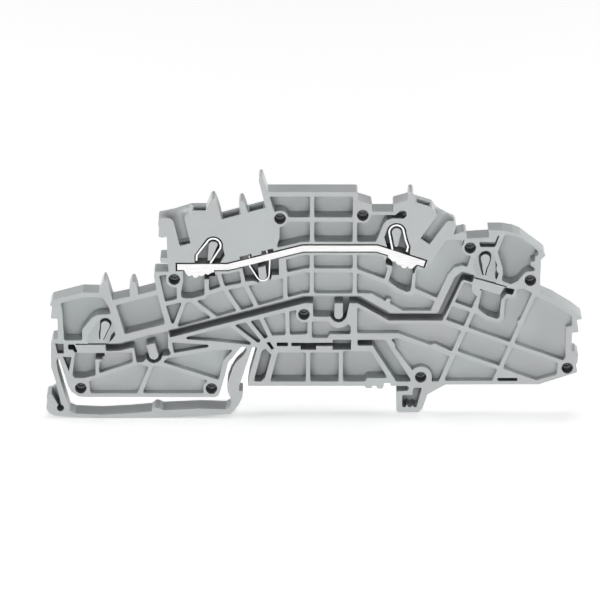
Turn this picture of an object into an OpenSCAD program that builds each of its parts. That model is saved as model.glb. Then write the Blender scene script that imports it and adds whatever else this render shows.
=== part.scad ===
// Double level terminal block for a 35 mm top hat rail.
// One moulded housing, open on its front side, with the metal parts of the upper level.
// X runs along the conductors, Z points up from the rail, and Y runs along the rail.
// The origin lies on the middle of the rail's top plane, halfway through the block.

/* [Block] */
// Thickness of the block along the rail
block_t = 5.2; // [4.8:0.1:7]
// Thickness of the wall that closes the back
back_t = 1.0; // [0.8:0.05:1.2]
// Thickness of the front skin over the closed upper decks
skin_t = 0.4; // [0.3:0.05:0.6]
// Depth of the shallow coring pockets
core_d = 2.0; // [1:0.1:3]
// Depth of the trays of the unused clamp places
tray_d = 0.3; // [0.2:0.05:0.6]
// Width of a rib between two pockets
rib_t = 0.85; // [0.6:0.05:1.1]
// Width of the rim between a pocket and the outline
rim_t = 0.95; // [0.7:0.05:1.1]
// Width of the grooves round the pads in the unused bar places
groove_w = 0.24; // [0.2:0.02:0.3]
// Width of the lip between a pocket and a current bar channel
lip_t = 0.5; // [0.35:0.05:0.7]
// Radius of the corners of the pockets
corner_r = 0.3; // [0.1:0.05:0.3]
// Radius of the corners of the outline
edge_r = 0.15; // [0.05:0.05:0.15]

/* [Lengths from the rail centre] */
// To the left end of the lower deck
left_end = 56.4; // [55:0.1:62]
// To the right end of the lower deck
right_end = 52.9; // [52:0.1:58]
// To the left end of the upper deck
upper_left = 33.9; // [33.5:0.1:36]
// To the right end of the upper deck
upper_right = 26.9; // [26.5:0.1:28]
// To the right end of the raised lower clamp deck
shoulder_x = 45.2; // [45:0.1:46.5]

/* [Heights above the rail] */
// Lower left deck
lower_deck_z = 20.3; // [20:0.1:22]
// Raised lower clamp deck on the right
shoulder_z = 33.8; // [33.4:0.1:35]
// Upper deck
upper_deck_z = 38; // [37.6:0.1:40]
// Marker tower
tower_z = 42; // [41:0.1:46]
// Underside of the body beside the rail on the left
belly_z = -2.45; // [-2.8:0.05:-2.2]

/* [Rail seat] */
// Width of the rail over its two brims
rail_w = 35; // [34.6:0.1:35.4]
// Thickness of the rail's brims
brim_t = 1; // [0.8:0.1:1.2]
// Play of the brims in the foot and the hook
rail_play = 0.1; // [0.05:0.05:0.2]
// Thickness of the springy strap at its thin end
strap_t = 0.75; // [0.6:0.05:1]
// Depth of the springy neck that carries the foot
neck_d = 3; // [2.5:0.1:4]

/* [Pegs and sockets] */
// Diameter of a socket in the open face
socket_d = 2.4; // [2.2:0.05:2.5]
// Depth of a socket
socket_h = 3.3; // [2.6:0.1:3.5]
// Diameter of the core hole behind a socket
core_hole_d = 1.7; // [1.2:0.1:1.8]
// Play between a peg and its socket, all round
peg_play = 0.075; // [0.05:0.025:0.1]
// Length of the pegs on the back
peg_l = 1.4; // [0.8:0.1:2.4]
// Wall of the boss round a socket
boss_t = 0.5; // [0.4:0.05:0.7]

/* [Current bar] */
// Thickness of the current bar
bar_t = 1.35; // [1:0.05:1.5]
// Width of the metal parts through the block
metal_w = 3.8; // [3.2:0.1:3.9]
// Distance from the open face back to the metal
metal_inset = 0.2; // [0.1:0.05:0.3]
// Play between the metal and its channel
play = 0.15; // [0.05:0.01:0.2]
// Gap between the bar and the roof of its channel
top_gap = 0.35; // [0.2:0.05:0.4]
// Height of the middle of the bar above the rail
bar_z = 29.8; // [29.4:0.1:30.2]
// Drop of the bar to its left end
bar_drop_left = 4; // [3.8:0.1:4.2]
// Drop of the bar to its right end
bar_drop_right = 3.3; // [3.1:0.1:3.5]
// Length of each toothed contact zone
contact_l = 6.2; // [5.6:0.1:6.4]
// Depth of the toothed contact zone below the bar
contact_h = 1.5; // [1:0.1:1.7]
// Width of the bar left beside each of its windows
land_w = 0.55; // [0.45:0.05:0.7]

/* [Lower channel] */
// Height of its middle stretch above the rail
low_z = 18.85; // [18.7:0.05:19.05]
// Drop from its middle to the left jumper place
low_drop_left = 7.5; // [7.3:0.1:7.7]
// Drop from its middle to the trough on the right
low_drop_right = 3.75; // [3.6:0.05:3.9]

/* [Springs] */
// Thickness of the clamp spring strip
spring_t = 0.36; // [0.25:0.01:0.4]
// Thickness of the jumper spring strip
jumper_t = 0.3; // [0.2:0.01:0.36]
// Bend radius of a clamp spring's loop, to the middle of the strip
loop_r = 1.5; // [1.35:0.05:1.6]
// Bend radius of the jumper spring, to the middle of the strip
bend_r = 1.3; // [1.2:0.05:1.4]
// Space round the bends of the springs
moat = 0.35; // [0.2:0.05:0.4]

/* [Conductor entries] */
// Diameter of a conductor funnel
funnel_d = 4.5; // [4.3:0.05:4.6]
// Radius of the flare at its mouth
flare_r = 1.2; // [0.8:0.1:1.4]
// Diameter of the bore below the shoulder
wire_d = 3; // [2.6:0.1:3.2]
// Side of the square slot that takes the release blade
blade_w = 2.7; // [2.4:0.1:2.9]

/* [Hidden] */
eps = 0.02;
$fn = 48;
plastic = [0.66, 0.68, 0.67];
tinned = [0.88, 0.88, 0.87];
steel = [0.80, 0.81, 0.82];

// Planes through the block, from the open front face to the back
front_y = -block_t / 2;
back_y = block_t / 2;
core_y = front_y + core_d;
skin_y = front_y + skin_t;
floor_y = back_y - back_t;
metal_y0 = front_y + metal_inset;
metal_y1 = metal_y0 + metal_w;
metal_floor_y = metal_y1 + play;
entry_y = floor_y - funnel_d / 2;

// Ends of the decks
lx = -left_end;
rx = right_end;
ux = -upper_left;
vx = upper_right;
sx = shoulder_x;
lz = lower_deck_z;
sz = shoulder_z;
uz = upper_deck_z;

// Rail brims
brim_x = rail_w / 2;
brim_z = -brim_t - rail_play;
peg_d = socket_d - 2 * peg_play;
boss_r = socket_d / 2 + boss_t;
sockets = [
    [lx + 6.1, -0.5], [-23.3, -0.6], [-30.8, 23.2], [-9.1, 36.3], [-4.2, 15.6],
    [7.8, 37], [29.8, 30], [sx - 3, 23], [19.9, 1.9], [rx - 2.8, 3.9]
];

// Middle lines of the two current bar channels
bar_path = [
    [-30.2, bar_z - bar_drop_left], [-19.8, bar_z - bar_drop_left], [-4.4, bar_z],
    [10.8, bar_z], [20.5, bar_z - bar_drop_right]
];
low_path = [
    [-32, low_z - low_drop_left], [-4.2, low_z], [7, low_z], [13.4, low_z - low_drop_right],
    [23.8, low_z - low_drop_right], [27.4, 23.2], [28.4, 24], [30.6, 23.3]
];
channel_w = bar_t + 2 * play;

// Left and right edges of the two jumper windows in the bar
jumper_x = [[-17.2, -15], [-12.9, -10.7]];

// Plane geometry
function unit(v) = v / norm(v);
function side(p, i) = let (d = unit(p[i + 1] - p[i])) [-d[1], d[0]];
function moved(p, i, d) =
    i == 0 ? p[0] + d * side(p, 0) :
    i == len(p) - 1 ? p[i] + d * side(p, i - 1) :
    let (a = side(p, i - 1), b = side(p, i)) p[i] + d * (a + b) / (1 + a * b);
function shifted(p, d) = [for (i = [0 : len(p) - 1]) moved(p, i, d)];
function reversed(p) = [for (i = [len(p) - 1 : -1 : 0]) p[i]];
function arc(c, r, a0, a1, n = 12) =
    [for (i = [0 : n]) c + r * [cos(a0 + (a1 - a0) * i / n), sin(a0 + (a1 - a0) * i / n)]];
function between(a, b, t) = a + (b - a) * t;
function on_bar(x) =
    let (i = x < bar_path[1][0] ? 0 : x < bar_path[2][0] ? 1 : x < bar_path[3][0] ? 2 : 3)
    between(bar_path[i], bar_path[i + 1], (x - bar_path[i][0]) / (bar_path[i + 1][0] - bar_path[i][0]))[1];

// A strip of constant width along a path
module band(path, w) {
    polygon(concat(shifted(path, w / 2), reversed(shifted(path, -w / 2))));
}

// Rounds the outer corners of a plane shape
module eased(r) {
    offset(r = r, $fn = 12) offset(delta = -r) children();
}

// A plane shape given its thickness through the block
module slab(y0, y1) {
    translate([0, y1, 0]) rotate([90, 0, 0]) linear_extrude(y1 - y0) children();
}

// Stock that is cut away from the open face back to a depth
module cut(y1) {
    slab(front_y - 1, y1) children();
}

// Outline of the moulding, seen from the open face

// Left end: snap pad, arm, marker hook, lower deck and its two fins
function left_profile() = [
    [lx + 0.7, -6.55], [lx - 0.4, -6.05], [lx - 0.9, -5.35], [lx - 1.1, -4.6], [lx - 0.85, -3.1],
    [lx - 1, -2.25], [lx - 0.7, -1.95], [lx, -1.75], [lx + 1.3, -0.9], [lx + 0.95, 1],
    [lx + 0.05, 4.2], [lx + 0.1, 9.4], [lx + 0.5, 10.3], [lx + 1.55, 10.4],
    [lx + 1.55, lz - 5.6], [lx + 0.15, lz - 5.55], [lx + 0.45, lz - 3], [lx, lz - 2.6],
    [lx + 0.5, lz - 1.6], [lx + 6.8, lz + 0.1], [lx + 10.15, lz],
    [lx + 10.5, lz + 1.3], [lx + 10.95, lz + 2.4], [lx + 11.2, lz + 2.75], [lx + 11.5, lz + 2.75],
    [lx + 11.85, lz + 2], [lx + 12.35, lz + 0.4], [lx + 12.9, lz - 1.6],
    [-39.95, lz - 0.8], [-40, lz + 1.2], [-39.65, lz + 2.2], [-39.4, lz + 2.4], [-39, lz + 2.4],
    [-38.75, lz + 2], [-38.4, lz + 0.9], [-38.2, lz - 0.4], [-34.5, lz + 0.6]
];

// Upper left deck: ledge, marker hook, conductor entry and fins
function upper_left_profile() = [
    [-35, 24], [-34.8, 24.9], [ux + 1.95, 24.9], [ux + 1.8, 26.7], [ux + 0.5, 26.8],
    [ux + 0.2, 27.2], [ux + 0.3, 27.9], [ux + 1.7, 27.9], [ux + 1.65, uz - 5.6],
    [ux + 0.6, uz - 5.8], [ux - 0.05, uz - 5.5], [ux + 0.1, uz - 3.5], [ux - 0.1, uz - 3.1],
    [ux, uz - 1.8], [ux + 2.9, uz - 1.2], [ux + 6.7, uz], [-24.2, uz],
    [-23.75, uz + 1.1], [-23.2, uz + 2.3], [-22.9, uz + 2.6], [-22.5, uz + 2.6], [-22.1, uz + 1.8],
    [-21.55, uz + 0.3], [-21, uz - 1.9], [-17.05, uz - 0.8], [-17.45, uz + 1.2],
    [-17.35, uz + 1.8], [-17.1, uz + 2.1], [-16.7, uz + 2.1], [-16.3, uz + 1.5], [-15.7, uz - 0.4],
    [-12, uz + 0.6]
];

// Marker tower with its leaning fin, the label seat and the right fin
function tower_profile() = [
    [-12.5, tower_z - 1.4], [-13.4, tower_z + 2.3], [-13.3, tower_z + 3.1], [-12.95, tower_z + 3.3],
    [-12.6, tower_z + 3.1], [-11.6, tower_z], [6.5, tower_z], [6.75, tower_z - 0.25],
    [6.75, uz + 2.3], [9.5, uz + 1.4], [9.8, uz - 0.2], [14, uz - 0.2], [14, uz + 1.4],
    [17, uz + 2.3], [17, uz + 3.6], [17.3, uz + 4], [17.8, uz + 4], [18.1, uz + 3.6], [18.2, uz + 1.9]
];

// Upper right deck and the raised lower clamp deck beside it
function upper_right_profile() = [
    [vx - 5, uz + 0.7], [vx - 4, uz - 0.7], [vx - 2.1, uz - 1.8], [vx - 0.4, uz - 2.6],
    [vx, uz - 3.2], [vx - 0.5, sz - 0.9], [28.5, sz - 0.3], [29, sz - 0.7], [29.1, sz - 1.8],
    [33.6, sz - 1.5], [33.4, sz], [36.3, sz], [38.5, sz - 0.4], [sx - 5.2, sz - 1],
    [sx - 0.4, 29.1], [sx, 28.4], [sx - 0.9, 27.4], [sx - 1, 20.4]
];

// Right end: sloping deck, marker hooks, blunt heel and the underside
function right_profile() = [
    [rx - 5.9, 19.1], [rx - 2.4, 16.9], [rx - 0.9, 15.8], [rx, 15], [rx - 0.1, 14.6],
    [rx - 1, 14.4], [rx - 0.6, 11.8], [rx - 1.95, 11.6], [rx - 2, 7.6], [rx - 1.2, 7.5],
    [rx - 0.6, 7], [rx - 0.7, 5.4], [rx - 1, 4.6], [rx - 0.7, 3], [rx - 8.6, 0.35], [25, 0.3]
];

// Fixed hook over the right brim, the rail seat and the claw of the foot
function hook_profile() = [
    [21.3, -1.9], [20.3, -5], [19.5, -5.8], [15.3, -5.8], [14.9, -5.3], [14.9, brim_z - 0.1],
    [brim_x - 0.3, brim_z], [brim_x + rail_play, brim_z / 2], [brim_x - 0.3, 0],
    [13.7, 0], [13.7, 0.6], [12.3, 0.6], [12.3, 0], [12, -0.6], [11, -0.6], [10.7, 0],
    [10, 0], [9.7, -0.5], [8.6, -0.5], [8.3, 0], [-15.8, 0]
];
function foot_profile() = [
    [-15.45, 2.4], [-15, 4], [-14.3, 6.6], [-13.85, 8.2], [-14.1, 8.5], [-14.75, 8.5], [-14.95, 8.2],
    [-15.9, 5.2], [-17.05, 1.5],
    [-brim_x - rail_play, 0], [-brim_x - rail_play, brim_z], [-brim_x + 0.7, brim_z - 0.15],
    [-16.9, -2.4], [-17.6, -4], [-18.6, -5.4], [-19.4, -6.2]
];

// Underside of the strap, back to the pad
function strap_profile() = [[-30, -6.8], [lx + 10.4, -7.1]];

// Opening between the body and the strap, arm and foot
function latch_gap() = concat(
    [[-17.3, 8.4], [-16.9, 8.6], [-16.2, 8.5], [-15.95, 8.1], [-16.2, 7.4], [-16.8, 6.5],
     [-17.7, 5.7], [-18.3, 5], [-18.8, 4.1], [-19.2, 2.9], [-19.9, 0.9], [-20.05, -0.4],
     [-19.9, -1.4], [-19.3, -2.9], [-19.1, -3.8], [-19.4, -4.6], [-20.3, -5.15], [-25.7, -5],
     [-33.4, -5.35],
     [-34.1, -4.95], [-34.6, -4.8], [-35.1, -5], [-35.7, -5.6]],
    [[lx + 16.3, -6.75 + strap_t], [lx + 10.4, -7.1 + strap_t], [lx + 4.9, -6.85 + strap_t],
     [lx + 3.7, -5.5], [lx + 3.4, -4.2], [lx + 2.5, -1], [lx + 1.4, 3.3], [lx + 1.15, 5.5],
     [lx + 1.45, 6], [lx + 1.8, 5.8], [lx + 3.5, 0], [lx + 4.2, -1.3]],
    [[lx + 5.6, belly_z + 0.15], [lx + 6.9, belly_z], [-22.6, belly_z], [-22, belly_z + 0.2],
     [-21.6, -1.5], [-20.6, 2], [-20.2, 3.6], [-20, 4.6], [-19.7, 5.3], [-19, 6.1]]
);

module outline() {
    eased(edge_r) difference() {
        polygon(concat(left_profile(), upper_left_profile(), tower_profile(), upper_right_profile(),
            right_profile(), hook_profile(), foot_profile(), strap_profile()));
        polygon(latch_gap());
    }
}

// Relief behind the neck of the foot, which keeps it springy
module neck_relief() {
    polygon([[-19.3, 3], [-19.5, 4.9], [-17.1, 8.4], [-16, 8.6], [-15.2, 8.2], [-16.6, 3]]);
}

// Pockets that reach back to the rear wall

// Marker tower: two rows of cells above the upper channel
module tower_cells() {
    sill = shifted(bar_path, bar_t / 2 + top_gap + lip_t);
    seat_top = uz - 0.9;
    difference() {
        polygon([[-11.3, tower_z - rim_t], [-10.7, 39], [-10.1, 37.4], [-9.2, 34.6], [-9.2, 32.2],
            [-9.9, on_bar(-9.9) + bar_t / 2 + top_gap + lip_t + 0.1], sill[2], [10.5, sill[3][1]],
            [11.2, 32.8], [12, 35], [12.7, 35.9], [13.8, 36.35], [16.2, 36.3], [16.7, 36.8],
            [16.75, 37.6], [16.3, 38], [15.4, 38], [14.9, 37.5], [14.4, seat_top],
            [5.8, seat_top], [5.8, tower_z - rim_t]]);
        band([[-2.55, 30], [-2.55, tower_z]], rib_t);
        band([[6.2, 30], [6.2, tower_z]], rib_t);
        band([[-9.2, 36.1], [6.2, 36.1]], rib_t + 0.1);
    }
}

// Row of cells above the rail seat
module seat_cells() {
    foot_z = rim_t;
    head_z = 7.3;
    polygon([[-14.5, foot_z], [-13, foot_z], [-12.2, 1.8], [-10.9, 6.8], [-12.2, 8.2], [-12.9, 7.6],
        [-14.3, 2.2]]);
    polygon([[-11.2, foot_z], [-3.35 - rib_t / 2, foot_z], [-3.35 - rib_t / 2, head_z], [-9.6, head_z]]);
    polygon([[-3.35 + rib_t / 2, foot_z], [3.4 - rib_t / 2, foot_z], [3.4 - rib_t / 2, head_z],
        [-3.35 + rib_t / 2, head_z]]);
    polygon([[3.4 + rib_t / 2, foot_z], [8.5, foot_z], [8.9, 1.7], [13.1, 1.7], [9.6, 7.6],
        [3.4 + rib_t / 2, 7.6]]);
    polygon([[6.8, 8.8], [9.9, 8.8], [14.8, foot_z], [18.1, foot_z], [12.5, 10.1], [6.8, 10.1]]);
}

// Broken slot between the seat cells and the row above it
module seat_slots() {
    polygon([[-12, 9.5], [-11.2, 9.6], [-10.35, 8.2], [-10.9, 7.9]]);
    translate([-9.8, 8.7]) square([2.3, 0.8]);
    translate([-6.8, 8.7]) square([8.6, 0.75]);
    translate([-4.9, 7.9]) square([3.2, 1.3]);
    translate([1.7, 7.9]) square([3.8, 2.2]);
}

// Cells at the ends of the decks and the space for the wire ends below the bars
module end_cells() {
    polygon([[lx + 2.2, lz - 2.2], [lx + 2.55, 15.5], [lx + 2.8, 9.95], [lx + 6.55, 9.95],
        [lx + 6.6, 12.2], [lx + 7.1, 12.9], [lx + 8.7, 14.9], [lx + 9.8, 15.5], [lx + 12.6, 15.7],
        [lx + 12.1, 17.2], [lx + 10.9, lz - rim_t - 0.1], [lx + 6.8, lz - rim_t]]);
    polygon([[lx + 13.5, lz - 2.7], [-41.1, 11.3], [-32.7, 13.5], [-34.3, lz - 0.4]]);
    polygon([[lx + 5, 7], [lx + 4.4, 2.3], [lx + 4.8, 1.7], [lx + 6.9, 1.7], [lx + 9.2, 2.3],
        [lx + 9.2, 5.8], [lx + 11.2, 5.8], [lx + 11.2, 7]]);
    polygon([[lx + 3.6, 9.1], [lx + 4.9, 9.1], [lx + 5.6, 7.4], [lx + 5, 7.2], [lx + 4.6, 7.9],
        [lx + 3.6, 7.9]]);
    polygon([[sx - 8.1, sz - 0.9], [sx - 8.6, sz - 1.3], [35.4, 29.1], [35.8, 27.7], [36.45, 25.6],
        [36.6, 24.6], [36.3, 23], [36.9, 22.6], [38.3, 22.2], [39.6, 22.8], [40.9, 24.4], [41.6, 24.9], [sx - 2.1, 25],
        [sx - 2.1, 25.6], [sx - 3, 26.2], [sx - 2.9, 27], [sx - 2.1, 27.1], [sx - 2, 28.1],
        [sx - 1.4, 28.5], [sx - 1.5, 29.3], [sx - 3, 30.7], [sx - 4.8, sz - 1.9], [sx - 6.4, sz - 1.2]]);
    polygon([[31.5, 16.8], [33.4, 15.3], [35.5, 14.6], [36, 15], [36.3, 18.6], [37.4, 20.1],
        [38.6, 19.8], [39.1, 21.1], [36.9, 21.5], [35.9, 19.8], [32.3, 20.9]]);
    translate([rx - 17.2, 1.05]) square([4.2, 0.7]);
    polygon([[14, on_bar(14) - bar_t], [13.9, 25.6], [13.1, 22.8], [15, 21.3], [16.9, 20.5],
        [17.6, 20.7], [17.8, 21.4], [18.2, on_bar(18.2) - bar_t]]);
    polygon([[-28.6, on_bar(-28.6) - bar_t], [-28.8, 24], [-29.5, 20], [-29.3, 19.3], [-28.7, 19.1],
        [-27.1, 19.1], [-24.6, 19.8], [-24.6, on_bar(-24.6) - bar_t]]);
    polygon([[16.1, -2], [16.1, -4.7], [16.9, -4.7], [16.95, -4.25], [17.25, -4.25], [17.3, -4.7],
        [18, -4.7], [18.1, -4.35], [18.35, -4.35], [18.4, -4.7], [19.1, -4.7], [20.2, -0.4],
        [18.4, -0.4], [18.2, -2]]);
}

// Wedge with a round end between the pad and the arm
module keyhole() {
    translate([lx + 1.85, -4.85]) circle(r = 0.74);
    polygon([[lx, -1.75], [lx, -0.8], [lx + 1.28, -0.8], [lx + 1.5, -1.7], [lx + 2.1, -4.4],
        [lx + 1.45, -4.3]]);
}

// Small pockets and slits
module small_cells() {
    polygon([[lx + 2.5, 6.4], [lx + 3.7, 3.2], [lx + 4.3, 6.3]]);
    polygon([[lx + 0.95, 9.3], [lx + 1.4, 7.1], [lx + 2.7, 7.1], [lx + 2.7, 9.2]]);
    polygon([[29.35, 20.3], [29.95, 20.3], [30.2, 22], [29.6, 22]]);
    polygon([[31.65, sz - 2.7], [31.75, 30.4], [31.95, 30.2], [34.7, 30.2], [35, 30.4], [35.7, sz - 1.2],
        [35.4, sz - 1.2], [34.8, sz - 2.6], [31.9, sz - 2.5]]);
    polygon([[28.1, 30.6], [28.3, 30.6], [28.6, 31.7], [28.35, 31.7]]);
}

// Shallow pockets

// Between the two current bar channels
module middle_cells() {
    low = shifted(low_path, channel_w / 2 + lip_t);
    high = shifted(bar_path, -channel_w / 2 - lip_t);
    difference() {
        polygon(concat(
            [[-31.3, 13.2], [-32.5, 17.2], [-33.9, 24], [-32.4, 24.3]],
            [for (i = [1 : 3]) high[i]],
            [[12.4, on_bar(12.4) - channel_w / 2 - lip_t], [18.6, 25.2], [20.6, 25.5], [21.7, 26.6],
             [24.9, 31.6], [28, 31.8], [28.2, 30.2], [30, 28.2], [29.3, 25.9], [28.2, 26.2],
             [26.7, 25.8], [25.3, 24.2]],
            [[23.2, 19.3], [22.7, 18.4], [21.9, low[3][1]]],
            [[16, low[3][1]], [9.6, low[2][1]]], [low[1]], [[-29.8, 12.9]]));
        // Walls round the wire end spaces and the jumper spring
        polygon([[-30.3, 25.5], [-30.3, 18.6], [-28.4, 18.2], [-24.4, 19], [-23.7, 20.2], [-23.7, 25.5]]);
        polygon([[12.1, 28], [12.9, 25.4], [12.2, 22.6], [14.7, 20.4], [17.2, 19.6], [18.4, 19.9],
            [18.9, 25.7]]);
        polygon([[-17.6, 26], [-17, 22.2], [-15.3, 21.9], [-8.9, 23.4], [-8.6, 28]]);
        // Ribs
        band([[-33.5, 17.7], [-29.5, 18.7]], rib_t);
        band([[-28.6, 18.8], [-30.9, 12.6]], rib_t);
        band([[-27.4, 18.8], [-22.4, 14.8]], rib_t);
        band([[-24, 20.2], [-21.4, 21.1], [-16.2, 22.1]], rib_t);
        band([[-20.4, 21], [-17.4, 16.2]], rib_t);
        band([[-16.4, 22.4], [-13.7, 16.8]], rib_t);
        band([[-21.9, 25.2], [-21.1, 22.3], [-20.6, 20.9]], rib_t);
        band([[-8.4, 28], [-8.1, 24.4], [-8, 18.4]], rib_t);
        band([[-2.6, 30], [-2.6, 18]], rib_t);
        band([[6.2, 30], [6.2, 18]], rib_t);
        band([[-8.4, 24.1], [-3.9, 25.15], [6.3, 25.15], [13, 22.6]], rib_t);
        band([[18, 21], [23.4, 18.6]], rib_t);
        band([[13, 18], [13.2, 19]], rib_t);
    }
}

// Below the lower channel, from the arm to the foot
module belly_cells() {
    roof = shifted(low_path, -channel_w / 2 - 1.8 * lip_t);
    floor_z = belly_z + 0.8;
    difference() {
        polygon([[lx + 7.8, 1], [lx + 8, floor_z], [-25.1, floor_z], [-21.8, 1.2], [-20.8, 5.5],
            [-18.5, 8.1], [-15.2, 8.8], [-13.3, 9.6], [-11.7, 10.6], [-10.4, 11], [-3.5, 11.3],
            [-3.4, 17.2], roof[1], [-28.8, 10.6], [-31.4, 9.5], [-31, 7], [-33.3, 5.3], [-33.9, 4.4],
            [-36.6, 4.3], [-39.5, 5.3], [-39.6, 7.3], [lx + 11.8, 7.3], [lx + 10, 5],
            [lx + 9.9, 3.2], [lx + 9.9, 1.8]]);
        band([[lx + 9.4, 2.1], [-38.6, 5]], rib_t);
        band([[-35.6, 4.6], [-38.3, -2.2]], rib_t);
        band([[-34.3, 5], [-21.3, 0.7]], rib_t);
        band([[-31.8, 6.6], [-22.4, 8.3], [-16, 8.4]], rib_t);
        band([[-32, 10], [-22, 9.3], [-15, 8.5]], rib_t);
        band([[-19.4, 13.4], [-13.9, 9]], rib_t);
        band([[-16, 14.4], [-12.4, 9.7]], rib_t);
        band([[-13.2, 15.2], [-11, 10.4]], rib_t);
        band([[-7.7, 18], [-7.5, 10]], rib_t);
    }
}

// Below the lower channel, between the middle jumper boss and the raised clamp deck
module core_cells() {
    roof = shifted(low_path, -channel_w / 2 - 1.4 * lip_t);
    polygon([[-2.6, 10.5], [0.7, 10.5], [1.1, 11.3], [5.4, 11.3], [5.4, 13], [4.9, 13.6], [4, 12.9],
        [2.8, 12.6], [1.7, 13], [0.9, 14.1], [-2.6, 14.1]]);
    polygon([[6.7, 17.2], [6.7, 11.5], [15.2, 11.5], [21.6, 9], [22.8, 9.2], [26.3, 7.5],
        [28.2, 12], [24.6, 13.4], roof[4] + [-0.4, 0], roof[3], roof[2]]);
    difference() {
        polygon([[13.6, 10.2], [14.5, 9.2], [14.6, 8.1], [18.3, 3.1], [21.3, rim_t], [23.6, rim_t],
            [25.9, 6.4], [22.8, 7.7], [22, 8.6], [21, 8.3], [15, 10.5]]);
        translate(sockets[8]) circle(r = boss_r + 0.6, $fn = 32);
    }
}

// Lattice of the right hand body: two families of parallel ribs
module lattice_cells() {
    fall = [1, -0.364];
    rise = [1, 2.42];
    foot_z = 0.3 + 0.8;
    difference() {
        polygon([[24.2, foot_z], [34.9, foot_z], [35.6, 2.9], [36.6, 3.9], [rx - 9.2, 1.2],
            [rx - 4.9, 2.5], [rx - 4.7, 5.3], [rx - 3.6, 5.6], [rx - 3.2, 6.2], [rx - 3.2, 12.8],
            [rx - 1.9, 13.1], [rx - 2, 15.2], [rx - 3, 16], [rx - 6.2, 18], [43.2, 19.6], [42.3, 20.5],
            [40.8, 21.3], [39.6, 21], [39.2, 19.4], [37.1, 19.1], [36.8, 14.6], [35.8, 13.8],
            [33.2, 14.4], [31, 16], [30.4, 16.9], [31.4, 19.4], [30.3, 20.6], [29.9, 22.4],
            [28.7, 22.6], [24.9, 14.4], [28.3, 13.2], [28.9, 11.4], [26.6, 6.6]]);
        band([[24, 14.28], [24, 14.28] + 26 * fall], rib_t);
        band([[25.6, 18.2], [25.6, 18.2] + 6 * fall], rib_t);
        band([[26, 7.6], [26, 7.6] + 10.6 * fall], rib_t);
        band([[23.6, -0.4], [23.6, -0.4] + 9 * rise], rib_t);
        band([[35, 0.6], [35, 0.6] + 8.8 * rise], rib_t);
        translate([40.4, 13.8]) circle(r = rib_t / 2 + 0.25);
    }
}

// Channels and recesses that take the metal parts

// Space of a clamp spring: outline of the recess and the boss in its loop
left_loop = [-22.75, on_bar(-22.75) + 4.65];
right_loop = [14.7, on_bar(14.7) + 4.85];
jumper_bend = [-12.65, on_bar(-12.65) - 3.7];
module left_clamp_space() {
    difference() {
        union() {
            polygon([[-26.6, on_bar(-26.6)], [-26.6, 28.5], [-25.5, 30], [-24.7, 31.2], [-22.8, 31.5],
                [-20.9, 30.6], [-20.4, 28.4], [-21.9, on_bar(-21.9)]]);
            translate(left_loop) circle(r = loop_r + spring_t / 2 + moat);
        }
        left_boss();
    }
}
module left_boss() {
    polygon(concat(arc(left_loop, loop_r - 0.55, 15, 190), [[-23.95, 27.3], [-23.3, 27.3]]));
}
module right_clamp_space() {
    difference() {
        union() {
            polygon([[12.2, 32.3], [12.9, 34.4], [16.5, 34.2], [17, 32], [17.6, 30.3],
                [17.4, on_bar(17.4)], [13.1, on_bar(13.1)]]);
            translate(right_loop) circle(r = loop_r + spring_t / 2 + moat);
        }
        right_boss();
    }
}
module right_boss() {
    polygon(concat(arc(right_loop, loop_r - 0.55, -5, 185), [[14.35, 30.3], [14.95, 30.3]]));
}

// Space of the jumper spring below the bar, with the boss between its legs
module jumper_space() {
    difference() {
        union() {
            polygon([[-17.1, on_bar(-17.1)], [-16.2, 22.7], [-14.7, 22.9], [-12.6, 22.3], [-10.9, 24.1],
                [-9.3, 24.2], [-9.4, on_bar(-9.4)]]);
            translate(jumper_bend) circle(r = bend_r + jumper_t / 2 + moat);
        }
        polygon(concat(arc(jumper_bend, bend_r - 0.5, 180, 360),
            [[-12.1, 26.1], [-13.6, 25.7]]));
    }
}

// Empty jumper places of the lower level
module left_jumper_place() {
    bend = [-35.15, 6.75];
    difference() {
        union() {
            polygon([[-40.2, 9.9], [-39.4, 9.5], [-39.1, 7.5], [-38.7, 5.1], [-37.4, 5.2], [-36.4, 6.2],
                [-33.6, 6.55], [-31.9, 6.65], [-31.6, 7.1], [-32.2, 8.4], [-32.2, 12], [-36.5, 11]]);
            translate(bend) circle(r = 1.8);
        }
        translate(bend) circle(r = 0.98);
        band([bend, [-35.8, 9.1]], 1.8);
    }
}
module middle_jumper_place() {
    bend = [2.9, 15.5];
    difference() {
        union() {
            polygon([[-2.35, 19.2], [-2.35, 15.1], [1.3, 15.1], [1.4, 14.6], [4.5, 14.9], [5.35, 19.2]]);
            translate(bend) circle(r = 1.65);
        }
        translate(bend) circle(r = 0.9);
        band([bend, [2.95, 18.3]], 1.7);
    }
}

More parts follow.
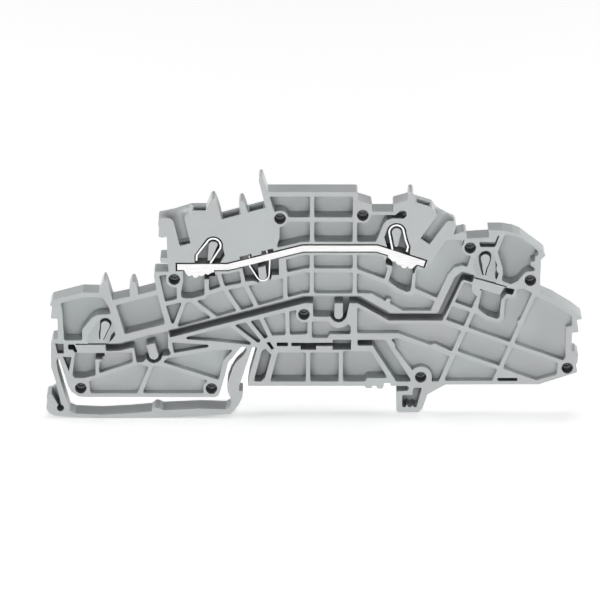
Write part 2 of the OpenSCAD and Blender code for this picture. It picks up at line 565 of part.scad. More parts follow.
// Unused clamp places of the lower level: a shallow tray, in it a drop-shaped boss with a deep moat
module clamp_trays() {
    polygon([[lx + 7.75, 9.1], [lx + 7.75, 11], [lx + 8.75, 12.6], [lx + 10.1, 14.4],
        [lx + 10.7, 14.75], [lx + 11.4, 14.88], [lx + 12.1, 14.7], [lx + 12.65, 14.2],
        [lx + 13.15, 13.6], [lx + 13.35, 12.8], [lx + 13.3, 11.7], [lx + 13.4, 11.1],
        [lx + 12, 9.45], [lx + 11.9, 9.1]]);
    polygon([[30.95, 23.5], [31, 24.1], [30.8, 25.3], [30.5, 26.4], [31.05, 28], [31.6, 28.7],
        [32.3, 29.25], [33, 29.43], [33.8, 29.28], [34.4, 28.85], [34.8, 28.2], [35, 27.2],
        [35.3, 26.4], [35.15, 25.6], [35.3, 25], [35.7, 24.4], [35.3, 23.2], [35.1, 22.3]]);
}
module left_drop() {
    polygon([[lx + 10.3, 10.2], [lx + 10.3, 11.4], [lx + 10.5, 12.8], [lx + 10.5, 13.6],
        [lx + 10.9, 14.05], [lx + 11.4, 14.18], [lx + 11.95, 13.95], [lx + 12.25, 13.5],
        [lx + 12.25, 13.05], [lx + 11.9, 12.35], [lx + 11.5, 11.5], [lx + 11.15, 10.75],
        [lx + 10.8, 10]]);
}
module right_drop() {
    polygon(concat([[32.65, 24], [32.4, 25.4], [32.3, 26.4], [32.1, 27.2]],
        arc([32.93, 27.7], 0.93, 170, 0, 10),
        [[33.75, 27.1], [33.5, 26.3], [33.15, 25.6], [33, 24.9], [32.85, 24]]));
}

// Deep moats round the drops and the slots beside them
module drop_moats() {
    difference() {
        polygon([[lx + 10.05, 10.2], [lx + 9.98, 11.5], [lx + 10.25, 12.8], [lx + 10.3, 14.25],
            [lx + 10.75, 14.65], [lx + 11.4, 14.82], [lx + 12.05, 14.6], [lx + 12.5, 14.15],
            [lx + 12.65, 13.7], [lx + 12.5, 13.1], [lx + 12.12, 12.4], [lx + 11.72, 11.5],
            [lx + 11.37, 10.75], [lx + 11.02, 10]]);
        left_drop();
    }
    polygon([[lx + 13.4, 11.1], [lx + 12.7, 10.1], [lx + 12, 9.45], [lx + 12.3, 10], [lx + 12.4, 10.8],
        [lx + 12.9, 11.6], [lx + 13.3, 11.8]]);
    difference() {
        polygon([[32.42, 24], [31.95, 25.4], [31.62, 26.8], [31.5, 28.1], [31.8, 28.75], [32.4, 29.22],
            [33, 29.38], [33.6, 29.22], [34, 28.85], [34.12, 28.2], [34.04, 27.5], [33.97, 27],
            [33.72, 26.25], [33.38, 25.5], [33.24, 24.8], [33.08, 24]]);
        right_drop();
    }
    polygon([[34.98, 27.3], [35.02, 26.3], [35.08, 25.2], [34.95, 24.4], [35.05, 23.3], [35.3, 23.2],
        [35.7, 24.4], [35.3, 25], [35.2, 25.6], [35.33, 26.4]]);
}

// Grooves round the pads that fill the unused bar places
module upper_grooves() {
    band([[lx + 5.2, 9.1], [lx + 11.4, 9.1]], groove_w);
    band([[30.7, 23.55], [37.4, 21.6]], groove_w);
}
module lower_grooves() {
    band([[lx + 5.2, 7.1], [lx + 11.2, 7.1]], groove_w);
    band([[31.9, 21.05], [36, 19.75]], groove_w);
}

module bar_channel() {
    path = concat([bar_path[0] + [-0.3, 0]], [for (i = [1 : 3]) bar_path[i]],
        [bar_path[4] + 0.3 * unit(bar_path[4] - bar_path[3])]);
    polygon(concat(shifted(path, bar_t / 2 + top_gap), reversed(shifted(path, -channel_w / 2))));
    left_contact() contact_room();
    right_contact() contact_room();
}
module contact_room() {
    translate([-play, -contact_h - 2 * play - 0.1]) square([contact_l + 2 * play, contact_h + 3 * play]);
}

module low_channel() {
    band(low_path, channel_w);
    band([[lx + 11.3, 8.4], [-42, 8.55], [-40, 9.1], [-38.8, 9.1]], channel_w);
}

// Entries behind the front skin of the upper decks

// A round conductor funnel with a flared mouth, then a bore down to the clamp
module funnel(mouth, shoulder, tip) {
    run = norm(mouth - shoulder);
    lean = atan2(mouth[0] - shoulder[0], mouth[1] - shoulder[1]);
    r = funnel_d / 2;
    translate([shoulder[0], entry_y, shoulder[1]]) rotate([0, lean, 0]) {
        rotate_extrude() polygon(concat([[0, 0], [r, 0]],
            arc([r + flare_r, run - flare_r], flare_r, 180, 90, 4),
            [[r + flare_r, run + 3], [0, run + 3]]));
        translate([0, 0, -norm(shoulder - tip)]) cylinder(h = norm(shoulder - tip) + eps, d = wire_d);
    }
}

module entries() {
    intersection() {
        union() {
            funnel([ux + 3.9, uz - 0.9], [-28.5, 30.7], [-27.3, 27.4]);
            funnel([vx - 2.3, uz - 0.8], [20.5, 31.4], [18.8, 28.6]);
        }
        translate([ux - 5, front_y - 1, 20]) cube([vx - ux + 10, floor_y + 0.3 - front_y + 1, 30]);
    }
    slab(skin_y, skin_y + blade_w) {
        polygon([[-24.2 - blade_w, uz + 1], [-24.2, uz + 1], [-24.2, uz], [-21.8, 31.6], [-24.3, 31.2],
            [-24.2 - blade_w, uz]]);
        polygon([[18.8, uz + 3], [18.8 + blade_w, uz + 3], [18.8 + blade_w, uz + 0.6], [15.6, 33.6],
            [13.6, 34.2], [18.8, uz + 1]]);
    }
    slab(skin_y, floor_y) {
        polygon([[-20.8, uz + 3], [-17.5, uz + 3], [-17.5, uz - 1.2], [-14.9, on_bar(-14.9)],
            [-17.2, on_bar(-17.2)], [-20.8, uz - 2.2]]);
        polygon([[-15.4, uz + 3], [-12.5, uz + 3], [-12.5, uz - 0.2], [-10.5, on_bar(-10.5)],
            [-12.9, on_bar(-12.9)], [-15.4, uz - 0.8]]);
    }
}

// Jumper openings seen on the front just above the bar
module jumper_windows(from, to) {
    for (x = jumper_x) {
        polygon([[x[0], on_bar(x[0]) + from], [x[0], on_bar(x[0]) + to], [x[1], on_bar(x[1]) + to],
            [x[1], on_bar(x[1]) + from]]);
    }
}

module peg() {
    rotate([-90, 0, 0]) {
        cylinder(h = peg_l - 0.2, d = peg_d);
        translate([0, 0, peg_l - 0.2 - eps]) cylinder(h = 0.2 + eps, d1 = peg_d, d2 = peg_d - 0.4);
    }
}

module socket() {
    rotate([-90, 0, 0]) {
        translate([0, 0, front_y - 1]) cylinder(h = socket_h + 1, d = socket_d);
        translate([0, 0, front_y]) cylinder(h = block_t - back_t - 0.1, d = core_hole_d);
    }
}

module bosses() {
    for (p = sockets) translate(p) circle(r = boss_r, $fn = 32);
}

module housing() {
    color(plastic) {
        difference() {
            union() {
                slab(front_y, back_y) outline();
                for (p = sockets) translate([p[0], back_y - eps, p[1]]) peg();
            }
            cut(floor_y) eased(corner_r) difference() {
                union() {
                    tower_cells();
                    seat_cells();
                    end_cells();
                    left_jumper_place();
                    middle_jumper_place();
                    low_channel();
                }
                bosses();
            }
            cut(floor_y) keyhole();
            cut(floor_y) seat_slots();
            cut(core_y) eased(corner_r) difference() {
                union() {
                    middle_cells();
                    belly_cells();
                    core_cells();
                    lattice_cells();
                }
                bosses();
            }
            cut(core_y) small_cells();
            slab(front_y + neck_d, back_y + 1) neck_relief();
            cut(metal_floor_y) {
                bar_channel();
                left_clamp_space();
                right_clamp_space();
                jumper_space();
                jumper_windows(0, 1.3);
            }
            cut(front_y + 1) upper_grooves();
            cut(floor_y + 0.35) lower_grooves();
            cut(front_y + tray_d) difference() {
                clamp_trays();
                left_drop();
                right_drop();
            }
            cut(core_y) drop_moats();
            entries();
            for (p = sockets) translate([p[0], 0, p[1]]) socket();
        }
    }
}

// Upper current bar with its toothed contact zones and windows
module current_bar() {
    color(tinned) difference() {
        union() {
            slab(metal_y0, metal_y1) band(bar_path, bar_t);
            slab(metal_y0, metal_y1) left_contact() contact_zone();
            slab(metal_y0, metal_y1) right_contact() contact_zone();
        }
        slab(metal_y0 + land_w, metal_y1 - land_w) {
            left_contact() wire_window();
            right_contact() wire_window();
            jumper_windows(-bar_t, bar_t);
        }
    }
}

// Window that the clamp spring's tongue reaches through
module wire_window() {
    translate([0.5, -2 * contact_h]) square([2.2, 2 * contact_h + 2 * bar_t]);
}

// Toothed zone under the bar, from its outer end towards the middle of the block
module contact_zone() {
    teeth = 4;
    pitch = (contact_l - 1.2) / teeth;
    polygon(concat([[0, bar_t / 3], [0, 0]],
        [for (i = [0 : teeth - 1]) each [
            [0.6 + i * pitch, -contact_h + 0.35 * abs(i - 1)],
            [0.6 + (i + 0.5) * pitch, -contact_h + 0.35 * abs(i - 1) - 0.2],
            [0.6 + (i + 0.9) * pitch, -contact_h + 0.35 * abs(i - 1) + 0.15]]],
        [[contact_l, -0.4], [contact_l, bar_t / 3]]));
}

// Places a shape on the underside of the bar, with X running inwards from the contact zone's outer end
module left_contact() {
    translate([-28.8, on_bar(-28.8) - bar_t / 2]) children();
}
module right_contact() {
    lean = atan2(bar_path[4][1] - bar_path[3][1], bar_path[4][0] - bar_path[3][0]);
    at = [19.1, on_bar(19.1)];
    translate(at) rotate(lean) mirror([1, 0]) translate([0, -bar_t / 2]) children();
}

module clamp_spring_left() {
    path = concat(
        [[-23.4, on_bar(-23.4) + bar_t / 2 + play]],
        arc(left_loop, loop_r, -25, 155, 14),
        [[-25.5, 29.3], [-26.15, 28.4], [-26.2, 27.2]]);
    color(steel) slab(metal_y0, metal_y1) band(path, spring_t);
}

module clamp_spring_right() {
    path = concat(
        [[13.9, on_bar(13.9) + bar_t / 2 + play]],
        arc(right_loop, loop_r, 190, 5, 14),
        [[16.6, 31.6], [17.1, 30.2], [16.8, 29.1]]);
    color(steel) slab(metal_y0, metal_y1) band(path, spring_t);
}

module jumper_spring() {
    left = jumper_x[0][1] - 0.4;
    right = jumper_x[1][1] - 0.5;
    path = concat([[left, on_bar(left) + 1.15], [left + 0.05, on_bar(left) - 1.1]],
        arc(jumper_bend, bend_r, 210, 360, 12),
        [[right, on_bar(right) - 1], [right - 0.7, on_bar(right) + 1.15]]);
    color(steel) slab(metal_y0 + land_w + play, metal_y1 - land_w - play) band(path, jumper_t);
}

housing();
current_bar();
clamp_spring_left();
clamp_spring_right();
jumper_spring();
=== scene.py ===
"""Double level terminal block for a 35 mm rail: finishes, notches, soft edges, floor, light and camera."""

import logging
import math
from dataclasses import dataclass, field
from enum import Enum

import bmesh
import bpy
from mathutils import Matrix, Vector


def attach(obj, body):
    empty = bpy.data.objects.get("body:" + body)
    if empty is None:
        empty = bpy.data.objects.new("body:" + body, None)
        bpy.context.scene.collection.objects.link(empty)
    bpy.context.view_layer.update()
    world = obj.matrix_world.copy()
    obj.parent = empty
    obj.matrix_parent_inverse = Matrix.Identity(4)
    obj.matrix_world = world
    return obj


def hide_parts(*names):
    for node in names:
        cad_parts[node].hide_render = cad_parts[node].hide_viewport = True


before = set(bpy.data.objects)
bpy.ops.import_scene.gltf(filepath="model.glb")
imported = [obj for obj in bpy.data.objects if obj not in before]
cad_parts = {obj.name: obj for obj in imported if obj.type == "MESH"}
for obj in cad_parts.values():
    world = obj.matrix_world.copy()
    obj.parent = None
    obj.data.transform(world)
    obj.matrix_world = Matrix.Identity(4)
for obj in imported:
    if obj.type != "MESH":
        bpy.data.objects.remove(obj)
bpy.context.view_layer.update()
MM = 0.001
LOG = logging.getLogger("terminal_block")

Colour = tuple[float, float, float]


class Slot(Enum):
    """The record's material slots."""

    HOUSING = "housing_plastic"
    TINNED = "tinned_metal"
    SPRING = "spring_steel"


class Lay(Enum):
    """The direction in which a rolled strip's fine lines run."""

    ALONG_X = (0.04, 1.0, 1.0)
    ALONG_Y = (1.0, 0.04, 1.0)


class Graph:
    """A node tree that is being wired up."""

    def __init__(self, tree: bpy.types.NodeTree) -> None:
        """Takes over an empty or a new tree.

        Args:
            tree: The tree to fill.
        """
        self.tree = tree

    def node(self, kind: str, sockets: dict | None = None, **settings: object) -> bpy.types.Node:
        """Adds one node.

        Args:
            kind: The node's type, without the ShaderNode prefix where it is a shader node.
            sockets: Plain values and output sockets for its inputs, by name or number.
            settings: The node's own properties.

        Returns:
            The new node.
        """
        made = self.tree.nodes.new(kind if kind.startswith("Node") else "ShaderNode" + kind)
        for name, value in settings.items():
            setattr(made, name, value)
        for key, value in (sockets or {}).items():
            if isinstance(value, bpy.types.NodeSocket):
                self.tree.links.new(value, made.inputs[key])
            else:
                made.inputs[key].default_value = value
        return made

    def between(self, value: bpy.types.NodeSocket, low: float, high: float,
                start: float = 0.0, end: float = 1.0) -> bpy.types.NodeSocket:
        """Maps a value from one range to another.

        Args:
            value: The socket to read.
            low: The value that becomes start.
            high: The value that becomes end.
            start: The lower end of the new range.
            end: The upper end of the new range.

        Returns:
            The mapped value's socket.
        """
        ranged = self.node("MapRange", {"Value": value, "From Min": low, "From Max": high,
                                        "To Min": start, "To Max": end})
        return ranged.outputs["Result"]

    def blend(self, factor: bpy.types.NodeSocket | float, first: object,
              second: object) -> bpy.types.NodeSocket:
        """Mixes two colours.

        Args:
            factor: Share of the second colour.
            first: A colour or a socket.
            second: A colour or a socket.

        Returns:
            The mixed colour's socket.
        """
        mix = self.node("Mix", {0: factor, 6: first, 7: second}, data_type="RGBA", blend_type="MIX")
        return mix.outputs[2]

    def seen_directly(self) -> bpy.types.NodeSocket:
        """Gives 1 where the camera looks at the surface, also in a reflection or through glass.

        Returns:
            The socket, which is 0 for all other light.
        """
        path = self.node("LightPath").outputs
        direct = self.node("Math", {0: path["Is Camera Ray"], 1: path["Is Glossy Ray"]}, operation="MAXIMUM")
        either = self.node("Math", {0: direct.outputs[0], 1: path["Is Transmission Ray"]},
                           operation="MAXIMUM")
        return either.outputs[0]


def new_group(name: str, inputs: dict[str, float], outputs: tuple[str, ...]) -> tuple[Graph, object, object]:
    """Starts a shader node group.

    Args:
        name: The group's name.
        inputs: Each number that the group takes, with its default.
        outputs: The names of the values that it gives.

    Returns:
        The group's graph, its input node and its output node.
    """
    tree = bpy.data.node_groups.new(name, "ShaderNodeTree")
    for title, default in inputs.items():
        socket = tree.interface.new_socket(title, in_out="INPUT", socket_type="NodeSocketFloat")
        socket.default_value = default
    for title in outputs:
        tree.interface.new_socket(title, in_out="OUTPUT", socket_type="NodeSocketFloat")
    graph = Graph(tree)
    return graph, graph.node("NodeGroupInput"), graph.node("NodeGroupOutput")


def grain_group() -> bpy.types.NodeTree:
    """Builds the fine grain and slow mottling that a tool leaves on plastic and metal.

    Returns:
        A group with the numbers Grain and Mottle in, and Height and Tone out.
    """
    graph, given, out = new_group("surface_grain", {"Grain": 5000.0, "Mottle": 130.0},
                                  ("Height", "Tone"))
    place = graph.node("TexCoord").outputs["Object"]
    fine = graph.node("TexNoise", {"Vector": place, "Scale": given.outputs["Grain"], "Detail": 3.0,
                                   "Roughness": 0.6})
    slow = graph.node("TexNoise", {"Vector": place, "Scale": given.outputs["Mottle"], "Detail": 4.0,
                                   "Roughness": 0.55})
    graph.tree.links.new(fine.outputs["Fac"], out.inputs["Height"])
    graph.tree.links.new(graph.between(slow.outputs["Fac"], 0.3, 0.7), out.inputs["Tone"])
    return graph.tree


def recess_shade_group() -> bpy.types.NodeTree:
    """Builds the mask of tight recesses, where a finish paints shade into the colour by darkening it.

    Returns:
        A group with the number Reach in and Mask out.
    """
    graph, given, out = new_group("painted_recess_shade", {"Reach": 2.0 * MM}, ("Mask",))
    # Painted shade: occluded places get a mask that darkens the base colour.
    hidden = graph.node("AmbientOcclusion", {"Distance": given.outputs["Reach"]}, samples=8)
    graph.tree.links.new(graph.between(hidden.outputs["AO"], 0.5, 0.14), out.inputs["Mask"])
    return graph.tree


def edge_group() -> bpy.types.NodeTree:
    """Builds the mask of edges, where a rounded normal departs from the face's own and a finish paints a
    highlight.

    Returns:
        A group with the number Radius in and Mask out.
    """
    graph, given, out = new_group("painted_edge_highlight", {"Radius": 0.1 * MM}, ("Mask",))
    own = graph.node("NewGeometry").outputs["Normal"]
    round_normal = graph.node("Bevel", {"Radius": given.outputs["Radius"]}, samples=4)
    dot = graph.node("VectorMath", {0: own, 1: round_normal.outputs["Normal"]}, operation="DOT_PRODUCT")
    graph.tree.links.new(graph.between(dot.outputs["Value"], 0.985, 0.8), out.inputs["Mask"])
    return graph.tree


@dataclass(frozen=True)
class MouldedPolyamide:
    """Light grey moulded polyamide: satin, faintly mottled, with painted highlights on its rims and painted
    shade in its recesses.
    """

    name: str = "grey_polyamide"
    colour: Colour = (0.485, 0.52, 0.52)
    shade: Colour = (0.48, 0.488, 0.495)
    # The colour of the painted highlight on rims, then the colour of the painted shade in tight recesses.
    rim_highlight: Colour = (0.58, 0.61, 0.61)
    painted_shade: Colour = (0.11, 0.118, 0.122)
    reach: float = 3.0 * MM
    roughness: float = 0.5
    grain: float = 4200.0
    mottle: float = 110.0
    rim_radius: float = 0.09 * MM
    rim_highlight_share: float = 0.55
    grain_depth: float = 0.012 * MM
    grain_strength: float = 0.22

    def material(self, groups: "Groups") -> bpy.types.Material:
        """Makes the plastic.

        Args:
            groups: The shared node groups.

        Returns:
            The material.
        """
        material, graph, surface = new_material(self.name)
        skin = graph.node("Group", node_tree=groups.grain)
        skin.inputs["Grain"].default_value = self.grain
        skin.inputs["Mottle"].default_value = self.mottle
        edges = graph.node("Group", node_tree=groups.edges)
        edges.inputs["Radius"].default_value = self.rim_radius
        base = graph.blend(skin.outputs["Tone"], rgba(self.shade), rgba(self.colour))
        recess_shade = graph.node("Group", node_tree=groups.recess_shade)
        recess_shade.inputs["Reach"].default_value = self.reach
        # Painted shade: tight recesses are darkened towards the shade colour.
        painted_shade = graph.blend(recess_shade.outputs["Mask"], base, rgba(self.painted_shade))
        # Painted highlight: rims are lightened towards the rim colour.
        edge_highlight = graph.between(edges.outputs["Mask"], 0, 1, 0, self.rim_highlight_share)
        highlighted = graph.blend(edge_highlight, painted_shade, rgba(self.rim_highlight))
        rough = graph.between(skin.outputs["Height"], 0.3, 0.7, self.roughness - 0.07, self.roughness + 0.06)
        rounded = graph.node("Bevel", {"Radius": self.rim_radius}, samples=6)
        bump = graph.node("Bump", {"Strength": self.grain_strength, "Distance": self.grain_depth,
                                   "Height": skin.outputs["Height"], "Normal": rounded.outputs["Normal"]})
        for socket, value in (("Base Color", highlighted), ("Roughness", rough), ("Normal", bump.outputs["Normal"])):
            graph.tree.links.new(value, surface.inputs[socket])
        surface.inputs["IOR"].default_value = 1.53
        return material


@dataclass(frozen=True)
class RolledMetal:
    """Bright strip with the fine lines of rolling, with painted highlights on its edges and painted shade in
    tight recesses.
    """

    name: str
    colour: Colour
    stain: Colour
    roughness: float
    lay: Lay
    lines: float = 9000.0
    # The colour of the painted shade in tight recesses.
    painted_shade: Colour = (0.08, 0.08, 0.08)
    reach: float = 3.0 * MM
    grain: float = 3200.0
    mottle: float = 420.0
    clean_share: float = 0.5
    # The colour, share and reach of the painted highlight on edges.
    edge_highlight: Colour = (0.96, 0.96, 0.96)
    edge_highlight_share: float = 0.4
    edge_highlight_radius: float = 0.06 * MM
    line_depth: float = 0.012 * MM
    line_strength: float = 0.4

    def material(self, groups: "Groups") -> bpy.types.Material:
        """Makes the metal.

        Args:
            groups: The shared node groups.

        Returns:
            The material.
        """
        material, graph, surface = new_material(self.name)
        skin = graph.node("Group", node_tree=groups.grain)
        skin.inputs["Grain"].default_value = self.grain
        skin.inputs["Mottle"].default_value = self.mottle
        edges = graph.node("Group", node_tree=groups.edges)
        edges.inputs["Radius"].default_value = self.edge_highlight_radius
        place = graph.node("TexCoord").outputs["Object"]
        turned = graph.node("Mapping", {"Vector": place, "Scale": self.lay.value})
        rolled = graph.node("TexNoise", {"Vector": turned.outputs["Vector"], "Scale": self.lines,
                                         "Detail": 2.0, "Roughness": 0.5})
        lined = graph.between(rolled.outputs["Fac"], 0.35, 0.65)
        base = graph.blend(lined, rgba(self.colour), rgba(self.stain))
        cleaned = graph.between(skin.outputs["Tone"], 0, 1, 0, self.clean_share)
        clean = graph.blend(cleaned, base, rgba(self.colour))
        # Painted highlight: edges are lightened towards the highlight colour.
        highlighted = graph.between(edges.outputs["Mask"], 0, 1, 0, self.edge_highlight_share)
        bright = graph.blend(highlighted, clean, rgba(self.edge_highlight))
        # Painted shade: tight recesses are darkened towards the shade colour.
        recess_shade = graph.node("Group", node_tree=groups.recess_shade)
        recess_shade.inputs["Reach"].default_value = self.reach
        tone = graph.blend(recess_shade.outputs["Mask"], bright, rgba(self.painted_shade))
        rough = graph.between(rolled.outputs["Fac"], 0.3, 0.7, self.roughness - 0.06, self.roughness + 0.08)
        bump = graph.node("Bump", {"Strength": self.line_strength, "Distance": self.line_depth,
                                   "Height": rolled.outputs["Fac"]})
        for socket, value in (("Base Color", tone), ("Roughness", rough), ("Normal", bump.outputs["Normal"])):
            graph.tree.links.new(value, surface.inputs[socket])
        surface.inputs["Metallic"].default_value = 1.0
        return material


@dataclass
class Groups:
    """The shared node groups, built once."""

    grain: bpy.types.NodeTree = field(default_factory=grain_group)
    edges: bpy.types.NodeTree = field(default_factory=edge_group)
    recess_shade: bpy.types.NodeTree = field(default_factory=recess_shade_group)


def rgba(colour: Colour) -> tuple[float, float, float, float]:
    """Returns a colour with full opacity."""
    return (*colour, 1.0)


def new_material(name: str) -> tuple[bpy.types.Material, Graph, bpy.types.Node]:
    """Starts a material.

    Args:
        name: The material's name.

    Returns:
        The material, its graph and its Principled BSDF.
    """
    material = bpy.data.materials.new(name)
    material.use_nodes = True
    return material, Graph(material.node_tree), material.node_tree.nodes["Principled BSDF"]


@dataclass
class NotchedHousing:
    """The housing, with a leaning notch at each foot of the jumper spring, given by its middle in X and Z."""

    node: str = "housing"
    feet: tuple[tuple[float, float], ...] = ((-16.1 * MM, 27.9 * MM), (-11.65 * MM, 29.08 * MM))
    width: float = 2.5 * MM
    height: float = 1.05 * MM
    front: float = -2.7 * MM
    floor: float = 1.5 * MM
    slope: float = math.radians(14.56)
    merge: float = 0.001 * MM

    def build(self, material: bpy.types.Material) -> bpy.types.Object:
        """Makes the piece, dresses it and lets it stand for its node.

        Args:
            material: The finish.

        Returns:
            The new piece.
        """
        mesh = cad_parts[self.node].data.copy()
        bm = bmesh.new()
        bm.from_mesh(mesh)
        bmesh.ops.remove_doubles(bm, verts=bm.verts[:], dist=self.merge)
        bm.to_mesh(mesh)
        bm.free()
        piece = bpy.data.objects.new(self.node + "_notched", mesh)
        bpy.context.scene.collection.objects.link(piece)
        cutter = self.cutter()
        cut = piece.modifiers.new("notches", "BOOLEAN")
        cut.operation, cut.solver, cut.object = "DIFFERENCE", "EXACT", cutter
        bpy.context.view_layer.update()
        evaluated = piece.evaluated_get(bpy.context.evaluated_depsgraph_get())
        finished = bpy.data.meshes.new_from_object(evaluated)
        piece.modifiers.clear()
        piece.data = finished
        finished.name = piece.name
        finished.materials.clear()
        finished.materials.append(material)
        bpy.data.objects.remove(cutter)
        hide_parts(self.node)
        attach(piece, "root")
        LOG.info("%s: %d notches cut, %d faces", piece.name, len(self.feet), len(finished.polygons))
        return piece

    def cutter(self) -> bpy.types.Object:
        """Makes the two leaning blocks whose shapes the notches take.

        Returns:
            The cutting object, which is removed after use.
        """
        bm = bmesh.new()
        for x, z in self.feet:
            block = bmesh.ops.create_cube(bm, size=1.0)["verts"]
            bmesh.ops.scale(bm, vec=(self.width, self.floor - self.front, self.height), verts=block)
            lean = Matrix.Rotation(-self.slope, 3, "Y")
            bmesh.ops.rotate(bm, cent=(0.0, 0.0, 0.0), matrix=lean, verts=block)
            bmesh.ops.translate(bm, vec=(x, (self.front + self.floor) / 2, z), verts=block)
        mesh = bpy.data.meshes.new("notch_cutter")
        bm.to_mesh(mesh)
        bm.free()
        cutter = bpy.data.objects.new("notch_cutter", mesh)
        bpy.context.scene.collection.objects.link(cutter)
        return cutter


@dataclass
class SoftenedNode:
    """A copy of a CAD node whose sharp edges get the small radius of the real part."""

    node: str
    slot: Slot
    radius: float
    sharp_angle: float = 40.0
    segments: int = 2
    facet: float = 0.45 * MM
    merge: float = 0.004 * MM
    flat_angle: float = 0.6
    smooth_angle: float = 50.0

    def build(self, material: bpy.types.Material) -> bpy.types.Object:
        """Makes the piece, dresses it and lets it stand for its node.

        Args:
            material: The finish.

        Returns:
            The new piece.
        """
        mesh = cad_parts[self.node].data.copy()
        mesh.name = self.node + "_softened"
        bm = bmesh.new()
        bm.from_mesh(mesh)
        bmesh.ops.remove_doubles(bm, verts=bm.verts[:], dist=self.merge)
        bmesh.ops.dissolve_limit(bm, angle_limit=math.radians(self.flat_angle), verts=bm.verts[:],
                                 edges=bm.edges[:])
        rims = [e for e in bm.edges if e.is_manifold and e.is_convex
                and e.calc_face_angle(0.0) > math.radians(self.sharp_angle)]
        bmesh.ops.bevel(bm, geom=rims, offset=self.radius, offset_type="OFFSET", segments=self.segments,
                        profile=0.5, affect="EDGES", clamp_overlap=False, material=-1)
        self.shade(bm)
        bm.to_mesh(mesh)
        bm.free()
        mesh.materials.clear()
        mesh.materials.append(material)
        piece = bpy.data.objects.new(self.node + "_softened", mesh)
        bpy.context.scene.collection.objects.link(piece)
        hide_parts(self.node)
        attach(piece, "root")
        LOG.info("%s: %d rims softened, %d faces", piece.name, len(rims), len(mesh.polygons))
        return piece

    def shade(self, bm: bmesh.types.BMesh) -> None:
        """Shades narrow facets smoothly and leaves the broad faces flat.

        Args:
            bm: The mesh.
        """
        for face in bm.faces:
            widths = sorted(e.calc_length() for e in face.edges)
            face.smooth = len(face.verts) <= 4 and widths[0] < self.facet
        for edge in bm.edges:
            edge.smooth = edge.is_manifold and edge.calc_face_angle(0.0) < math.radians(self.smooth_angle)


@dataclass(frozen=True)
class Lamp:
    """A soft rectangular lamp: its middle and its width and height in metres, and its power in watts."""

    name: str
    place: tuple[float, float, float]
    size: tuple[float, float]
    watts: float

    def hang(self, target: Vector) -> None:
        """Hangs the lamp.

        Args:
            target: The point that it faces.
        """
        light = bpy.data.lights.new(self.name, "AREA")
        light.shape = "RECTANGLE"
        light.size, light.size_y = self.size
        light.energy = self.watts
        lamp = bpy.data.objects.new(self.name, light)
        lamp.location = self.place
        lamp.rotation_euler = (target - Vector(self.place)).to_track_quat("-Z", "Y").to_euler()
        bpy.context.scene.collection.objects.link(lamp)


LAMPS = (
    Lamp("key", (-0.04, -0.8, 0.08), (0.45, 0.25), 3.5),
    Lamp("left", (-0.85, -0.12, 0.2), (0.3, 0.3), 4.4),
    Lamp("right", (0.85, -0.12, 0.2), (0.3, 0.3), 4.4),
    Lamp("top", (0.02, 0.13, 0.8), (0.4, 0.25), 1.6),
    Lamp("back_left", (-0.66, 0.5, 0.09), (0.35, 0.16), 1.5),
    Lamp("back_right", (0.66, 0.5, 0.09), (0.35, 0.16), 1.5),
)


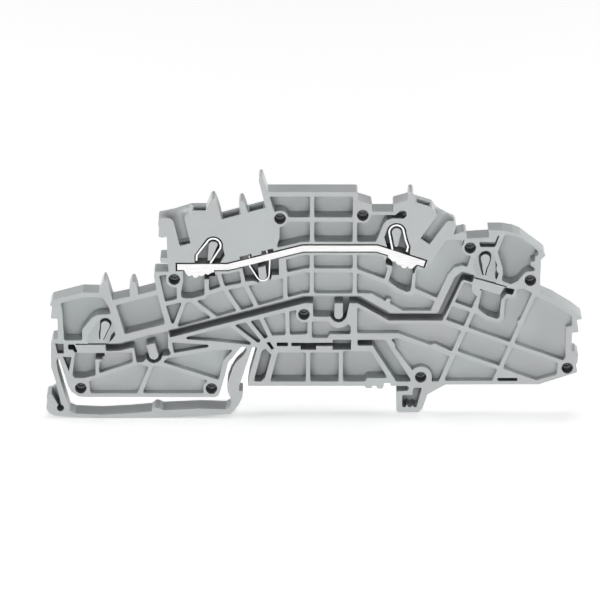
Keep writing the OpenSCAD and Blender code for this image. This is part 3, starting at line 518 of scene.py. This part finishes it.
@dataclass
class Studio:
    """Plain pale floor, soft light and the photograph's viewpoint."""

    lamps: tuple[Lamp, ...] = LAMPS
    lit: Vector = field(default_factory=lambda: Vector((0.0, 0.0, 0.018)))
    look_at: Vector = field(default_factory=lambda: Vector((-5.02, -2.6, 18.76)) * MM)
    distance: float = 1.0
    elevation: float = 19.0
    lens: float = 292.35
    floor_z: float = -7.12 * MM
    floor_size: float = 3.0
    floor_glow: float = 0.45
    fill: float = 0.03

    def build(self) -> None:
        """Makes the floor, the lights, the world and the camera."""
        self.floor()
        self.world()
        for lamp in self.lamps:
            lamp.hang(self.lit)
        self.camera()

    def floor(self) -> None:
        """Makes the floor, which is white to the camera and keeps the block's soft shadow."""
        bm = bmesh.new()
        bmesh.ops.create_grid(bm, x_segments=1, y_segments=1, size=self.floor_size)
        bmesh.ops.translate(bm, vec=(0.0, 0.0, self.floor_z), verts=bm.verts[:])
        mesh = bpy.data.meshes.new("floor")
        bm.to_mesh(mesh)
        bm.free()
        material, graph, surface = new_material("pale_floor")
        surface.inputs["Base Color"].default_value = (0.94, 0.94, 0.94, 1)
        surface.inputs["Roughness"].default_value = 0.8
        glow = graph.between(graph.seen_directly(), 0, 1, 0, self.floor_glow)
        surface.inputs["Emission Color"].default_value = (1, 1, 1, 1)
        graph.tree.links.new(glow, surface.inputs["Emission Strength"])
        mesh.materials.append(material)
        ground = bpy.data.objects.new("floor", mesh)
        bpy.context.scene.collection.objects.link(ground)

    def world(self) -> None:
        """Makes the world: white where it is seen, a weak even light where it isn't."""
        world = bpy.data.worlds.new("studio")
        world.use_nodes = True
        graph = Graph(world.node_tree)
        back = world.node_tree.nodes["Background"]
        back.inputs["Color"].default_value = (1, 1, 1, 1)
        strength = graph.between(graph.seen_directly(), 0, 1, self.fill, 1.0)
        graph.tree.links.new(strength, back.inputs["Strength"])
        bpy.context.scene.world = world

    def camera(self) -> None:
        """Places the camera where the photograph was taken from."""
        tilt = math.radians(self.elevation)
        ahead = Vector((0.0, math.cos(tilt), -math.sin(tilt)))
        data = bpy.data.cameras.new("photo_view")
        data.sensor_width = 36.0
        data.lens = self.lens
        data.clip_start, data.clip_end = 0.05, 20.0
        camera = bpy.data.objects.new("photo_view", data)
        camera.location = self.look_at - ahead * self.distance
        camera.rotation_euler = ahead.to_track_quat("-Z", "Y").to_euler()
        bpy.context.scene.collection.objects.link(camera)
        bpy.context.scene.camera = camera


def main() -> None:
    """Builds the block's pieces in order, then the studio."""
    logging.basicConfig(level=logging.INFO, format="%(message)s")
    groups = Groups()
    plastic = MouldedPolyamide().material(groups)
    tin = RolledMetal("matt_tin", colour=(0.6, 0.6, 0.595), stain=(0.46, 0.46, 0.46), roughness=0.4,
                      lay=Lay.ALONG_X).material(groups)
    steel = RolledMetal("spring_strip", colour=(0.84, 0.85, 0.86), stain=(0.74, 0.75, 0.77), roughness=0.26,
                        lay=Lay.ALONG_Y).material(groups)
    NotchedHousing().build(plastic)
    SoftenedNode("current_bar", Slot.TINNED, 0.05 * MM).build(tin)
    for spring in ("clamp_spring_left", "clamp_spring_right", "jumper_spring"):
        SoftenedNode(spring, Slot.SPRING, 0.03 * MM).build(steel)
    Studio().build()
    bpy.context.scene.view_settings.view_transform = "Standard"


if __name__ == "__main__":
    main()
